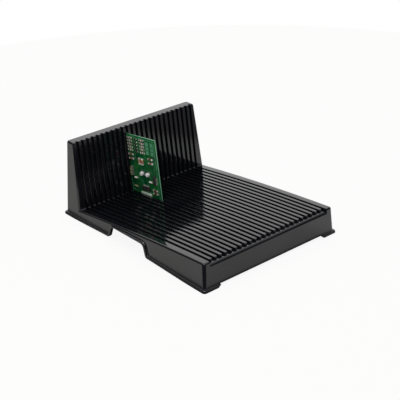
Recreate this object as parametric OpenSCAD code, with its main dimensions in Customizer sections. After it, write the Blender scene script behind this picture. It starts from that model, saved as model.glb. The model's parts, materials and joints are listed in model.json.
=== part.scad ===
// Slotted rack that stands circuit boards on edge, with one board in it.
// X runs across the slots, -Y is the open front, +Z is up, and the origin is
// on the table, in the middle of the footprint. All lengths are millimetres.

/* [Body] */
// Width of the skirt at the table, without the rim
body_w = 263; // [250:1:340]
// Depth of the skirt at the table, without the rim
body_d = 349; // [300:1:420]
// Height of the back wall above the table
wall_h = 129; // [110:0.5:180]
// Thickness of the moulded walls
skin = 2.2; // [1.8:0.1:2.6]
// Draft of the outside faces, in degrees
draft = 3.5; // [2:0.1:4]
// Radius of the upright corners
corner_r = 4.5; // [3:0.5:12]
// Rise of the middle of the base above its ends
crown_rise = 4.5; // [0:0.5:6]
// Rise of the middle of the deck above the line between its ends
deck_rise = 3.3; // [0:0.1:5]
// Flat land that bears on the table at each end
foot_land = 12; // [8:1:20]

/* [Deck and wall] */
// Height of the rib tops where the deck would meet the rear face
deck_rear_h = 12; // [10.5:0.1:20]
// Rise of the deck to the front, and lean of the wall to the rear, in degrees
tilt = 5.3; // [3:0.1:7]
// Thickness of the back wall at the deck, over its ribs
wall_foot = 38; // [32:0.5:50]
// Radius along the top of the front skirt
lip_r = 2.5; // [1:0.1:3]

/* [Slots] */
// Number of slots
slot_count = 25; // [5:2:25]
// Width of the flat border beside the slots, measured to the skirt at the table
border_w = 14.1; // [12:0.1:20]
// Width of a slot
slot_w = 4.4; // [4.3:0.1:5]
// Depth of a slot, square to the deck or to the wall
slot_depth = 4.2; // [4.2:0.1:5]
// Distance from the front edge to the tips of the deck ribs
rib_setback = 6; // [4:0.5:12]
// Radius at the top of a wall rib
rib_top_r = 2; // [1:0.1:2.5]

/* [Rim and openings] */
// How far the rim stands out from the skirt
rim_out = 3; // [2:0.5:6]
// Height of the rim band
rim_h = 4.5; // [3:0.5:7]
// Width of a hand notch at the table
notch_w = 92; // [80:1:120]
// Lean of the ends of a hand notch, in degrees
notch_lean = 20; // [0:1:25]
// Clear height of a hand notch
notch_h = 18.5; // [15:0.5:19]
// Radius of the upper corners of a hand notch
notch_r = 8; // [4:0.5:10]
// Distance of the hand notches behind the middle
notch_y = 5; // [-10:1:10]
// Length of a front foot along the rim
foot_w = 27; // [18:1:40]
// Run of the sloping inner end of a front foot
foot_slope = 5; // [4:1:14]
// Height of the front skirt's lower edge between the feet
front_lift = 4.2; // [3:0.1:6]

/* [Board] */
// Length of the board's lower edge
board_w = 78; // [76:1:120]
// Height of the board
board_h = 104; // [102:1:112]
// Thickness of the laminate
board_t = 1.6; // [1:0.1:2.4]
// Slot that holds the board, counted from the side nearer -X
board_slot = 11; // [1:1:25]
// Clearance between the board and the slot's floor and back
board_gap = 0.3; // [0.2:0.05:0.6]

/* [Board components] */
// Distance between the rows of small parts
row_pitch = 5.3; // [5:0.1:5.4]
// Number of rows of small parts
row_count = 5; // [3:1:5]
// Width of the metal end of a chip part
end_w = 0.9; // [0.5:0.1:1.2]
// Diameter of an aluminium capacitor can
can_d = 6.3; // [5:0.1:6.5]
// Height of an aluminium capacitor above the board
can_h = 5.8; // [5:0.1:8]
// Width of an integrated circuit's lead
lead_w = 0.6; // [0.4:0.05:0.7]
// Distance between an integrated circuit's leads
lead_pitch = 1.9; // [1.6:0.1:2]

/* [Hidden] */
$fn = 64;
corner_facets = 3;              // flat facets round an upright corner
over = 20;                      // how far cutting shapes reach past the body
crown_steps = 16;               // straight facets along the crowned base and deck
nudge = 0.02;                   // puts a round just outside the faces that it joins
arc_steps = 6;                  // straight facets round a small profile radius
field_w = body_w - 2 * border_w;
slot_pitch = (field_w - slot_w) / (slot_count - 1);
rib_w = slot_pitch - slot_w;
crown_half = body_d / 2 + rim_out - foot_land;
slope = tan(tilt);
deck_skin = slot_depth + skin;  // depth of the underside below the rib tops

// Height of the base at y: nothing at the end lands, most in the middle
function crown(y) = abs(y) < crown_half ? crown_rise * pow(1 - pow(y / crown_half, 2), 2) : 0;
// Height of the deck at y, a given distance below the rib tops
function deck_z(y, drop) =
  deck_rear_h + (body_d / 2 - y) * slope + deck_rise * (1 - pow(2 * y / body_d, 2)) - drop / cos(tilt);
// Line where the rib tops of the deck meet those of the wall
foot_y = body_d / 2 - wall_foot;
foot_z = deck_z(foot_y, 0);
// Place of the wall's front at height z, a given distance behind the rib tops
function wall_y(z, drop) = foot_y + (z - foot_z) * slope + drop / cos(tilt);
// Where the slot floors of the deck and the wall cross, closing in on it n times
function heel(y, n) = n == 0 ? y : heel(wall_y(deck_z(y, slot_depth), slot_depth), n - 1);
heel_y = heel(foot_y, 6);

// Stations along the crowned part, from front to rear
stations = [for (i = [0:crown_steps]) -crown_half + 2 * crown_half * i / crown_steps];
function line_at(ys, drop) = [for (y = ys) [y, deck_z(y, drop)]];
reach = body_d / 2 + over;
long_ys = concat([-reach, -body_d / 2], stations, [body_d / 2, reach]);
function flip(pts) = [for (i = [len(pts) - 1:-1:0]) pts[i]];

// Place of the front face at height z
function front_y(z) = -body_d / 2 + z * tan(draft);

// Outline in the Y-Z plane drawn across the body, between two X values
module across(x0, x1) {
  translate([x0, 0, 0]) rotate([90, 0, 90]) linear_extrude(x1 - x0) children();
}

// All that lies under the deck line at the given depth
module under_deck(drop) {
  polygon(concat([[-reach, -over]], line_at(long_ys, drop), [[reach, -over]]));
}

// All that lies over the deck line at the given depth
module over_deck(drop) {
  top = wall_h + over;
  polygon(concat([[reach, top]], [[-reach, top]], line_at(long_ys, drop)));
}

// All that lies behind the wall's front at the given depth, up to a height
module behind_wall(drop, top) {
  polygon([[wall_y(-over, drop), -over], [wall_y(top, drop), top], [reach, top], [reach, -over]]);
}

// All that lies before the wall's front at the given depth
module before_wall(drop) {
  top = wall_h + over;
  polygon([[wall_y(-over, drop), -over], [wall_y(top, drop), top], [-reach, top], [-reach, -over]]);
}

// Block with drafted faces, its upright corners rounded in narrow flat facets
module drafted_block(grow, h, r) {
  w = body_w / 2 + grow - r;
  d = body_d / 2 + grow - r;
  in = h * tan(draft);
  intersection_for (i = [0:2 * corner_facets + 1]) {
    a = 90 * i / (corner_facets + 1);
    half = w * abs(cos(a)) + d * sin(a) + r;
    top = half - in * (abs(cos(a)) + sin(a));
    rotate(a) rotate([90, 0, 0]) linear_extrude(2 * (body_w + body_d), center = true)
      polygon([[-half, 0], [half, 0], [top, h], [-top, h]]);
  }
}

module outer_block() { drafted_block(0, wall_h, corner_r); }
module inner_block() { drafted_block(-skin, wall_h - skin, corner_r - skin); }

// Outline of a hand notch in the Y-Z plane, wider all round by grow
function notch_outline(grow) =
  let (
    half_top = notch_w / 2 - notch_h * tan(notch_lean),
    cy = half_top + notch_r * tan(notch_lean) - notch_r / cos(notch_lean),
    cz = notch_h - notch_r,
    r = notch_r + grow,
    leg = (cz + over) / cos(notch_lean),
    turn = 90 - notch_lean,
    right = [for (i = [0:arc_steps]) let (a = notch_lean + turn * i / arc_steps)
      [cy + r * cos(a), cz + r * sin(a)]],
    foot = [right[0][0] + leg * sin(notch_lean), right[0][1] - leg * cos(notch_lean)],
    half = concat([foot], right)
  )
  concat(half, [for (p = flip(half)) [-p[0], p[1]]]);

module notch_shape(grow) {
  translate([notch_y, crown(notch_y)]) polygon(notch_outline(grow));
}

// Strip that follows the crowned lower edge, up to a height above it
module base_strip(h) {
  low = [for (y = long_ys) [y, crown(y)]];
  high = [for (y = flip(long_ys)) [y, crown(y) + h]];
  polygon(concat(low, high));
}

// Space between the front feet, up to a height
module front_gap(h) {
  half = body_w / 2 + rim_out - foot_w;
  run = foot_slope * h / front_lift;
  translate([0, 2 * skin - body_d / 2, 0]) rotate([90, 0, 0]) linear_extrude(2 * skin + over)
    polygon([[-half - run, -h], [half + run, -h], [half - run, h], [run - half, h]]);
}

// Centre of the round along the front edge of the deck, closing in on it n times
function lip_y(drop, r, n) =
  n == 0 ? -body_d / 2 : front_y(deck_z(lip_y(drop, r, n - 1), drop + r)) + r / cos(draft);

// All that lies outside the round along the front edge of the deck
module outside_lip(drop, r) {
  cy = lip_y(drop, r, 6) - nudge;
  cz = deck_z(cy, drop + r) + nudge;
  from = 180 - draft;
  to = 90 - tilt;
  arc = [for (i = [0:arc_steps]) let (a = from + (to - from) * i / arc_steps)
    [cy + r * cos(a), cz + r * sin(a)]];
  top = cz + over;
  polygon(concat(arc, [[arc[arc_steps][0], top], [-reach, top], [-reach, arc[0][1]]]));
}

// All that lies behind the wall's front, with a round at the top
module behind_round_wall(drop, top, r) {
  cy = wall_y(top - r, drop + r);
  arc = [for (i = [0:arc_steps]) let (a = 180 - tilt - (90 - tilt) * i / arc_steps)
    [cy + r * cos(a), top - r + r * sin(a)]];
  polygon(concat([[wall_y(-over, drop), -over]], arc, [[reach, top], [reach, -over]]));
}

// Skirt all round, with its rim, hand notches and front feet
module skirt() {
  notch_top = notch_h + crown_rise + 2 * rim_h;
  color("#1b1b1d") difference() {
    union() {
      difference() {
        intersection() {
          outer_block();
          across(-body_w, body_w) intersection() {
            under_deck(slot_depth);
            base_strip(wall_h);
          }
        }
        across(-field_w / 2, field_w / 2) outside_lip(slot_depth, lip_r);
        front_gap(front_lift);
      }
      difference() {
        intersection() {
          drafted_block(rim_out, notch_top, corner_r);
          across(-body_w, body_w) intersection() {
            base_strip(notch_top);
            under_deck(skin / 2);
            union() {
              base_strip(rim_h);
              notch_shape(rim_h);
            }
          }
        }
        front_gap(rim_h + 1);
        intersection() {
          outer_block();
          across(-body_w, body_w) over_deck(slot_depth);
        }
      }
    }
    across(-body_w, body_w) notch_shape(0);
    inner_block();
  }
}

// Floor of the slots, set inside the skirt and ending at the back wall
module deck_plate() {
  color("#1d1d1f") intersection() {
    inner_block();
    across(-body_w / 2, body_w / 2) intersection() {
      under_deck(slot_depth);
      over_deck(deck_skin);
      before_wall(deck_skin);
    }
  }
}

// Hollow back wall, open below, up to the floors of its slots
module wall_shell() {
  color("#1b1b1d") difference() {
    intersection() {
      outer_block();
      across(-body_w / 2, body_w / 2) intersection() {
        over_deck(slot_depth);
        behind_wall(slot_depth, wall_h);
      }
    }
    intersection() {
      inner_block();
      across(-body_w / 2, body_w / 2) behind_wall(deck_skin, wall_h);
    }
  }
}

// Middle of rib number i
function rib_x(i) = (i - (slot_count - 2) / 2) * slot_pitch;
tip_y = front_y(deck_z(-body_d / 2, 0)) + rib_setback;

// Ribs of the deck, with round tips before the front edge
module deck_ribs() {
  r = rib_w / 2;
  color("#232325") for (i = [0:slot_count - 2]) intersection() {
    across(rib_x(i) - r, rib_x(i) + r) intersection() {
      under_deck(0);
      over_deck(slot_depth);
      before_wall(slot_depth);
    }
    union() {
      translate([rib_x(i), tip_y + r, 0]) cylinder(h = wall_h, r = r);
      translate([rib_x(i) - r, tip_y + r, 0]) cube([rib_w, body_d, wall_h]);
    }
  }
}

// Ribs of the back wall, standing on those of the deck
module wall_ribs() {
  color("#232325") for (i = [0:slot_count - 2])
    across(rib_x(i) - rib_w / 2, rib_x(i) + rib_w / 2) intersection() {
      over_deck(0);
      behind_round_wall(0, wall_h, rib_top_r);
      before_wall(slot_depth);
    }
}

// The flat strips beside the slots, from the field of slots to the side faces
module both_borders() {
  intersection() {
    outer_block();
    union() {
      across(field_w / 2, body_w / 2) children();
      across(-body_w / 2, -field_w / 2) children();
    }
  }
}

module deck_borders() {
  color("#202022") both_borders() difference() {
    intersection() {
      under_deck(0);
      over_deck(slot_depth);
      before_wall(slot_depth);
    }
    outside_lip(0, lip_r);
  }
}

module wall_borders() {
  color("#202022") both_borders() intersection() {
    over_deck(0);
    behind_wall(0, wall_h);
    before_wall(slot_depth);
  }
}

// The board stands on the floor of its slot, on the high spots of the crown
slot_x = (board_slot - (slot_count + 1) / 2) * slot_pitch;
board_tilt = atan2(deck_z(heel_y - board_w, slot_depth) - deck_z(heel_y, slot_depth), board_w);
top_z = deck_z(heel_y, slot_depth) + board_h;
board_y = wall_y(top_z, slot_depth) - board_gap - board_h * sin(board_tilt);
under_board = [for (y = long_ys) if (y < board_y && y > board_y - board_w)
  deck_z(y, slot_depth) - (board_y - y) * tan(board_tilt)];
board_z = max(concat(under_board, [deck_z(board_y, slot_depth)])) + board_gap;
face = board_t / 2;

// Puts a drawing on the board: X forward from its rear edge, Y up, Z out of its face
module on_board(h = 0) {
  translate([slot_x, board_y, board_z]) rotate([-board_tilt, 0, 0]) rotate([90, 0, -90])
    translate([0, 0, h]) children();
}

module slab(u, v, w, h, t, base = 0) {
  translate([u - w / 2, v - h / 2, base]) cube([w, h, t]);
}

module board_laminate() {
  color("#1f8a4c") on_board(-face) cube([board_w, board_h, board_t]);
}

// Place of a part on the board, as shares of its width and height
function spot(u, v) = [board_w * u, board_h * v];

// Rows of small parts start below the top edge and go down
top_row = 5.5;
rows = [for (i = [0:row_count - 1]) board_h - top_row - i * row_pitch];
banks = [for (share = [0.085, 0.165, 0.505, 0.585]) board_w * share];
chip_w = 5.2;
chip_h = 2.8;
chip_t = 0.8;

// Body of a two-ended part, between its metal ends
module middle(at, w, h, t, end) {
  slab(at[0], at[1], w - 2 * end, h, t);
}

// Metal ends of a two-ended part
module ends(at, w, h, t, end) {
  for (s = [-1, 1]) slab(at[0] + s * (w - end) / 2, at[1], end, h, t);
}

module resistor_bodies() {
  color("#cfc9b4") on_board(face) for (u = banks, v = rows) middle([u, v], chip_w, chip_h, chip_t, end_w);
}

module resistor_ends() {
  color("#d9dadb") on_board(face) for (u = banks, v = rows) ends([u, v], chip_w, chip_h, chip_t, end_w);
}

diode_u = board_w * 0.34;
diode_w = 4.4;
diode_h = 2.7;
diode_t = 2.1;
diode_rise = 0.2;
tab_w = 1.3;
tab_h = 1.5;
tab_t = 0.6;

module diode_bodies() {
  color("#2a2a2c") on_board(face) for (v = rows) slab(diode_u, v, diode_w, diode_h, diode_t, diode_rise);
}

module diode_tabs() {
  color("#c4c6c8") on_board(face) for (v = rows) ends([diode_u, v], diode_w + 2 * tab_w, tab_h, tab_t, tab_w);
}

// Middles of the ceramic capacitors
ceramics = [
  spot(0.12, 0.6), spot(0.12, 0.67), spot(0.78, 0.6), spot(0.78, 0.67), spot(0.83, 0.16), spot(0.83, 0.105)
];
ceramic_w = 11.5;
ceramic_h = 3;
ceramic_t = 2.2;
ceramic_end = 1.8;

module ceramic_capacitors() {
  color("#d8c7ad") on_board(face) for (p = ceramics)
    middle(p, ceramic_w, ceramic_h, ceramic_t, ceramic_end);
}

module capacitor_ends() {
  color("#dcdddf") on_board(face) for (p = ceramics)
    ends(p, ceramic_w, ceramic_h, ceramic_t, ceramic_end);
}

tantalums = [spot(0.395, 0.59), spot(0.495, 0.59)];
tantalum_l = 11.2;
tantalum_h = 3.8;
tantalum_t = 2.6;
tantalum_end = 2.6;

// Puts upright a part drawn lying at the origin
module upright(p) {
  translate([p[0], p[1], 0]) rotate(90) children();
}

module tantalum_bodies() {
  color("#a3532d") on_board(face) for (p = tantalums)
    upright(p) middle([0, 0], tantalum_l, tantalum_h, tantalum_t, tantalum_end);
}

module tantalum_ends() {
  color("#dcdddf") on_board(face) for (p = tantalums)
    upright(p) ends([0, 0], tantalum_l, tantalum_h, tantalum_t, tantalum_end);
}

cans = [spot(0.46, 0.4), spot(0.655, 0.405)];
can_base = can_d + 0.4;
can_base_t = 0.9;

module can_bases() {
  color("#1a1a1c") on_board(face) for (p = cans) slab(p[0], p[1], can_base, can_base, can_base_t);
}

module capacitor_cans() {
  color("#d4d6d8") on_board(face + can_base_t) for (p = cans)
    translate([p[0], p[1], 0]) cylinder(h = can_h - can_base_t, d = can_d);
}

chokes = [spot(0.2, 0.29), spot(0.71, 0.285)];
choke_l = 5.5;
choke_d = 2.8;
choke_end = 1;

module ferrite_chokes() {
  color("#e4e2da") on_board(face + choke_d / 2) for (p = chokes)
    translate([p[0] - choke_l / 2, p[1], 0]) rotate([0, 90, 0]) cylinder(h = choke_l, d = choke_d);
}

module choke_ends() {
  color("#c9cbcd") on_board(face) for (p = chokes)
    ends(p, choke_l + 2 * choke_end, choke_d, choke_d, choke_end);
}

// Integrated circuits: the long one lies along the lower edge, the other stands by the front
main_chip = spot(0.515, 0.15);
main_leads = 9;
main_w = 7.5;
driver_chip = spot(0.855, 0.325);
driver_leads = 7;
driver_w = 6.5;
chip_rise = 0.25;
chip_body_t = 2.2;
lead_reach = 1.6;
lead_t = 0.3;
lead_top = chip_rise + chip_body_t / 2;

// Body of an integrated circuit, long enough for a count of leads
module chip_body(count, w) {
  slab(0, 0, (count + 1.5) * lead_pitch, w, chip_body_t, chip_rise);
}

// Both rows of bent leads of an integrated circuit, along X
module both_leads(count, w) {
  for (s = [0, 180], i = [0:count - 1]) rotate(s)
    translate([(i - (count - 1) / 2) * lead_pitch - lead_w / 2, -w / 2, 0]) rotate([90, 0, 90])
      linear_extrude(lead_w) polygon([
        [0, lead_top], [0, lead_top + lead_t], [-lead_reach / 2, lead_top + lead_t],
        [-lead_reach * 0.65, lead_t], [-lead_reach, lead_t], [-lead_reach, 0],
        [-lead_reach / 2, 0], [-lead_reach * 0.35, lead_top]
      ]);
}

module chip_bodies() {
  color("#202022") on_board(face) {
    translate([main_chip[0], main_chip[1], 0]) chip_body(main_leads, main_w);
    upright(driver_chip) chip_body(driver_leads, driver_w);
  }
}

module chip_leads() {
  color("#c9cbcd") on_board(face) {
    translate([main_chip[0], main_chip[1], 0]) both_leads(main_leads, main_w);
    upright(driver_chip) both_leads(driver_leads, driver_w);
  }
}

// Pin header beside the rear edge
header = spot(0.1, 0.4);
header_count = 6;
header_pitch = 2.54;
header_w = 2.5;
header_l = header_count * header_pitch;
pin_w = 0.64;
pin_l = 3.5;

module header_body() {
  color("#77797b") on_board(face) upright(header) slab(0, 0, header_l, header_w, header_w);
}

module header_pins() {
  color("#c8b878") on_board(face + header_w) upright(header) for (i = [0:header_count - 1])
    slab((i - (header_count - 1) / 2) * header_pitch, 0, pin_w, pin_w, pin_l);
}

terminals = spot(0.505, 0.062);
terminal_l = 27;
terminal_h = 3.4;
terminal_t = 2.4;

module terminal_strip() {
  color("#b9bdb9") on_board(face) slab(terminals[0], terminals[1], terminal_l, terminal_h, terminal_t);
}

skirt();
deck_plate();
wall_shell();
deck_ribs();
wall_ribs();
deck_borders();
wall_borders();
board_laminate();
resistor_bodies();
resistor_ends();
diode_bodies();
diode_tabs();
ceramic_capacitors();
capacitor_ends();
tantalum_bodies();
tantalum_ends();
can_bases();
capacitor_cans();
ferrite_chokes();
choke_ends();
chip_bodies();
chip_leads();
header_body();
header_pins();
terminal_strip();
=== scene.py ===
import json
import math

import bmesh
import bpy
from mathutils import Matrix, Vector


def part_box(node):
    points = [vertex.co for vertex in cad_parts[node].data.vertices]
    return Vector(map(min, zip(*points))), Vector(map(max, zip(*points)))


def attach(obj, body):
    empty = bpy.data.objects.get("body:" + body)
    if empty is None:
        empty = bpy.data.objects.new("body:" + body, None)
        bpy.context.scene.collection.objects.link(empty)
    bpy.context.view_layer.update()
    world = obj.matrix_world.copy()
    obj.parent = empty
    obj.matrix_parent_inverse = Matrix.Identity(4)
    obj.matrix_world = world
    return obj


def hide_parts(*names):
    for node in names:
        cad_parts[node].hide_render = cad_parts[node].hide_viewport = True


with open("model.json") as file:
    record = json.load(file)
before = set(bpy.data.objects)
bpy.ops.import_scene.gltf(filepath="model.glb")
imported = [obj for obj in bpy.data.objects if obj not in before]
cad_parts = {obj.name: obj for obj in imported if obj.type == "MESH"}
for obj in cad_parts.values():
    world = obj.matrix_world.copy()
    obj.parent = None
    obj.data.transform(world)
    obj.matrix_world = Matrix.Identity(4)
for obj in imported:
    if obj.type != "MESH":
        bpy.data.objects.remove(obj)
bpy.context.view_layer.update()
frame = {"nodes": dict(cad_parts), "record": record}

scene = bpy.context.scene
mm = 0.001
mergeDistance = 1e-6  # points closer than this, in metres, become one
print("frame loaded:", len(frame["nodes"]), "nodes")


# Camera

cameraView = {
    "place": (-0.9038, -1.1181, 0.7418),
    "azimuth": -39.181,
    "elevation": 26.047,
    "roll": -2.294,
    "lens": 91.29,
    "sensor": 36.0,
    "shift": (0.00225, 0.00034),
    "near": 0.05,
}


def addCamera(settings):
    data = bpy.data.cameras.new("studioCamera")
    data.lens = settings["lens"]
    data.sensor_width = settings["sensor"]
    data.shift_x, data.shift_y = settings["shift"]
    data.clip_start = settings["near"]
    camera = bpy.data.objects.new("studioCamera", data)
    turn = (
        Matrix.Rotation(math.radians(settings["azimuth"]), 4, "Z")
        @ Matrix.Rotation(math.radians(90 - settings["elevation"]), 4, "X")
        @ Matrix.Rotation(math.radians(settings["roll"]), 4, "Z")
    )
    camera.matrix_world = Matrix.Translation(settings["place"]) @ turn
    scene.collection.objects.link(camera)
    scene.camera = camera


addCamera(cameraView)


# Mesh helpers

def meshFrom(name, vertices, faces, merge=True):
    # a mesh in metres from points in millimetres, its faces outward
    mesh = bpy.data.meshes.new(name)
    shape = bmesh.new()
    corners = [shape.verts.new([c * mm for c in point]) for point in vertices]
    for face in faces:
        shape.faces.new([corners[i] for i in face])
    if merge:
        bmesh.ops.remove_doubles(shape, verts=shape.verts, dist=mergeDistance)
    bmesh.ops.recalc_face_normals(shape, faces=shape.faces)
    shape.to_mesh(mesh)
    shape.free()
    return mesh


def addPiece(name, mesh):
    piece = bpy.data.objects.new(name, mesh)
    scene.collection.objects.link(piece)
    return piece


def settle(piece):
    # the piece's modifiers worked into a plain mesh
    bpy.context.view_layer.update()
    evaluated = piece.evaluated_get(bpy.context.evaluated_depsgraph_get())
    mesh = bpy.data.meshes.new_from_object(evaluated)
    mesh.name = piece.name
    old = piece.data
    piece.modifiers.clear()
    piece.data = mesh
    bpy.data.meshes.remove(old)


def combine(piece, tool, operation):
    # exact boolean of a piece with a tool, which is used up
    work = piece.modifiers.new("combine", "BOOLEAN")
    work.operation = operation
    work.solver = "EXACT"
    work.object = tool
    settle(piece)
    bpy.data.objects.remove(tool)


def bandFaces(low, high, count):
    # faces between two rings whose points start at low and high
    pairs = [(i, (i + 1) % count) for i in range(count)]
    return [(low + i, low + j, high + j, high + i) for i, j in pairs]


def stackRings(rings):
    # points and faces over rings of equal length, one after the other, closed at both ends
    count = len(rings[0])
    last = (len(rings) - 1) * count
    faces = [list(range(count)), list(range(last, last + count))]
    for low in range(0, last, count):
        faces += bandFaces(low, low + count, count)
    return [point for ring in rings for point in ring], faces


def gather(shapes):
    # the points and faces of several shapes as one
    vertices, faces = [], []
    for points, sides in shapes:
        faces += [[len(vertices) + i for i in side] for side in sides]
        vertices += points
    return vertices, faces


def prism(name, outline, low, high):
    # an outline in Y and Z, drawn out along X
    rings = [[(x, y, z) for y, z in outline] for x in (low, high)]
    return addPiece(name, meshFrom(name, *stackRings(rings)))


def arc(centre, radius, start, end, steps):
    # points of an arc between two angles in degrees
    turns = [math.radians(start + (end - start) * i / steps) for i in range(steps + 1)]
    return [(centre[0] + radius * math.cos(a), centre[1] + radius * math.sin(a)) for a in turns]


def stations(low, high, count):
    return [low + (high - low) * i / count for i in range(count + 1)]


def smooth(mesh, angle):
    mesh.polygons.foreach_set("use_smooth", [True] * len(mesh.polygons))
    mesh.set_sharp_from_angle(angle=math.radians(angle))


# The moulding: sizes in millimetres, angles in degrees

rackForm = {
    # body and skin
    "skin": 2.2, "draft": 3.5, "cornerRadius": 4.5, "cornerSteps": 10, "smoothAngle": 28.0,
    # deck, and the wall that stands at its rear
    "deckRear": 12.0, "deckCrown": 3.3, "tilt": 5.3, "wallFoot": 38.0, "crownSteps": 24,
    # rounded edges: outer edges, the front lip, and the fine edges of the slotted field
    "edgeRadius": 3.0, "edgeSteps": 6, "lipRadius": 5.0, "lipSteps": 8, "lipGap": 2.0,
    "fineRadius": 0.45, "fineSteps": 2,
    # slots
    "slotCount": 25, "border": 14.1, "slotWidth": 4.4, "slotDepth": 4.2, "tipSetback": 6.0,
    # hand notches
    "notchWidth": 92.0, "notchLean": 20.0, "notchHeight": 18.5, "notchPlace": 5.0,
    "notchRadius": 8.0, "notchSteps": 8, "notchFootRadius": 5.5, "notchFootSteps": 6,
    # lower edge and front feet
    "rimOut": 3.0, "rimHeight": 4.5, "baseCrown": 4.5, "footLand": 12.0,
    "footLength": 27.0, "footSlope": 5.0, "frontLift": 4.2,
    # how far cutting shapes reach past what they cut
    "over": 20.0, "bodySpare": 1.0, "hollowSpare": 5.0, "notchSpare": 2.5,
}
skirtLow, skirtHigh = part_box("skirt")
bodyWidth = (skirtHigh[0] - skirtLow[0]) / mm - 2 * rackForm["rimOut"]
bodyDepth = (skirtHigh[1] - skirtLow[1]) / mm - 2 * rackForm["rimOut"]
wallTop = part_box("wall_shell")[1][2] / mm
slope = math.tan(math.radians(rackForm["tilt"]))
tiltCos = math.cos(math.radians(rackForm["tilt"]))
draftTan = math.tan(math.radians(rackForm["draft"]))
draftCos = math.cos(math.radians(rackForm["draft"]))
fieldWidth = bodyWidth - 2 * rackForm["border"]
slotPitch = (fieldWidth - rackForm["slotWidth"]) / (rackForm["slotCount"] - 1)
ribWidth = slotPitch - rackForm["slotWidth"]
floorDrop = rackForm["slotDepth"]
underDrop = floorDrop + rackForm["skin"]
over = rackForm["over"]
reach = bodyDepth / 2 + over
solveRounds = 12  # enough for the crossings below to settle


def baseAt(y):
    half = bodyDepth / 2 + rackForm["rimOut"] - rackForm["footLand"]
    return rackForm["baseCrown"] * (1 - (y / half) ** 2) ** 2 if abs(y) < half else 0.0


def deckAt(y, drop=0.0):
    bow = rackForm["deckCrown"] * (1 - (2 * y / bodyDepth) ** 2)
    return rackForm["deckRear"] + (bodyDepth / 2 - y) * slope + bow - drop / tiltCos


wallFootY = bodyDepth / 2 - rackForm["wallFoot"]
wallFootZ = deckAt(wallFootY)


def wallAt(z, drop=0.0):
    return wallFootY + (z - wallFootZ) * slope + drop / tiltCos


def frontAt(z):
    return -bodyDepth / 2 + z * draftTan


def heelOf(drop):
    # where the deck and the wall's front cross, at a depth below the rib tops
    y = wallFootY
    for _ in range(solveRounds):
        y = wallAt(deckAt(y, drop), drop)
    return y


def lipCentre(drop, radius):
    # centre of the round between the deck and the front, at a depth below the rib tops
    y = -bodyDepth / 2
    for _ in range(solveRounds):
        y = frontAt(deckAt(y, drop + radius)) + radius / draftCos
    return y, deckAt(y, drop + radius)


def deckLine(start, end, drop=0.0):
    return [(y, deckAt(y, drop)) for y in stations(start, end, rackForm["crownSteps"])]


def roundedRing(grow, z, radius):
    # outline of the body at a height, its corners round
    halfX = bodyWidth / 2 + grow - z * draftTan - radius
    halfY = bodyDepth / 2 + grow - z * draftTan - radius
    ring = []
    for quarter, (sx, sy) in enumerate(((1, 1), (-1, 1), (-1, -1), (1, -1))):
        turn = 90 * quarter
        ring += arc((sx * halfX, sy * halfY), radius, turn, turn + 90, rackForm["cornerSteps"])
    return [(x, y, z) for x, y in ring]


def block(name, grow, low, high, radius):
    rings = [roundedRing(grow, z, radius) for z in (low, high)]
    return addPiece(name, meshFrom(name, *stackRings(rings)))


def bodyOutline():
    # the L of deck and wall over the crowned base, out to past both ends
    ys = [-reach] + stations(-bodyDepth / 2, bodyDepth / 2, rackForm["crownSteps"]) + [reach]
    low = [(y, baseAt(y)) for y in ys]
    deck = [(-reach, deckAt(-reach))] + deckLine(-bodyDepth / 2, wallFootY)
    return low + [(reach, wallTop), (wallAt(wallTop), wallTop)] + deck[::-1]


def fieldOutline():
    # all that is cut away over the slot floors of the deck and the wall, round at the front
    centre = lipCentre(floorDrop, rackForm["lipRadius"])
    turns = 180 - rackForm["draft"], 90 - rackForm["tilt"]
    lip = arc(centre, rackForm["lipRadius"], *turns, rackForm["lipSteps"])
    floor = deckLine(lip[-1][0] + rackForm["lipGap"], heelOf(floorDrop), floorDrop)
    top = wallTop + over
    return lip + floor + [(wallAt(top, floorDrop), top), (-reach, top), (-reach, lip[0][1])]


def hollowOutline():
    # the space under the deck and inside the wall
    top = wallTop - rackForm["skin"]
    deck = [(-reach, deckAt(-reach, underDrop))]
    deck += deckLine(-bodyDepth / 2, heelOf(underDrop), underDrop)
    return [(-reach, -over)] + deck + [(wallAt(top, underDrop), top), (reach, top), (reach, -over)]


def notchPath():
    # the edge of a hand notch as points and normals into the wall, from front to rear
    lean, radius = rackForm["notchLean"], rackForm["notchRadius"]
    height, middle = rackForm["notchHeight"], rackForm["notchPlace"]
    leanTan, leanCos = math.tan(math.radians(lean)), math.cos(math.radians(lean))
    level = baseAt(middle)
    edge = rackForm["notchWidth"] / 2
    foot = rackForm["notchFootRadius"]
    cy = edge - height * leanTan + radius * leanTan - radius / leanCos
    cz = height - radius
    sides = []
    for way in (-1, 1):
        # the foot's centre stands off the leaning end by its radius
        fz = baseAt(middle + way * (edge + foot)) - level + foot
        fy = edge - fz * leanTan + foot / leanCos
        upper = arc((cy, cz), radius, 90, lean, rackForm["notchSteps"])
        lower = arc((fy, fz), foot, 180 + lean, 270, rackForm["notchFootSteps"])
        points = [(y, z, (y - cy) / radius, (z - cz) / radius) for y, z in upper]
        points += [(y, z, (fy - y) / foot, (fz - z) / foot) for y, z in lower]
        sides.append([(middle + way * y, level + z, way * ny, nz) for y, z, ny, nz in points])
    return sides[0][::-1] + sides[1]


def gapOutline():
    # the opening under the front edge, between the two feet
    half = bodyWidth / 2 + rackForm["rimOut"] - rackForm["footLength"]
    run, lift = rackForm["footSlope"], rackForm["frontLift"]
    return [(-half - run, -lift), (half + run, -lift), (half - run, lift), (run - half, lift)]


edgePick = {
    "lean": 0.2,  # most that the normal of an upright side leans up or down
    "facing": 0.5,  # least share of it that points across or back
    "outerLow": 8.0, "outerTurn": 0.8,  # lowest height and least turn of the outer edges
    "fineLow": 6.0, "fineTurn": 0.9,
}


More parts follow.
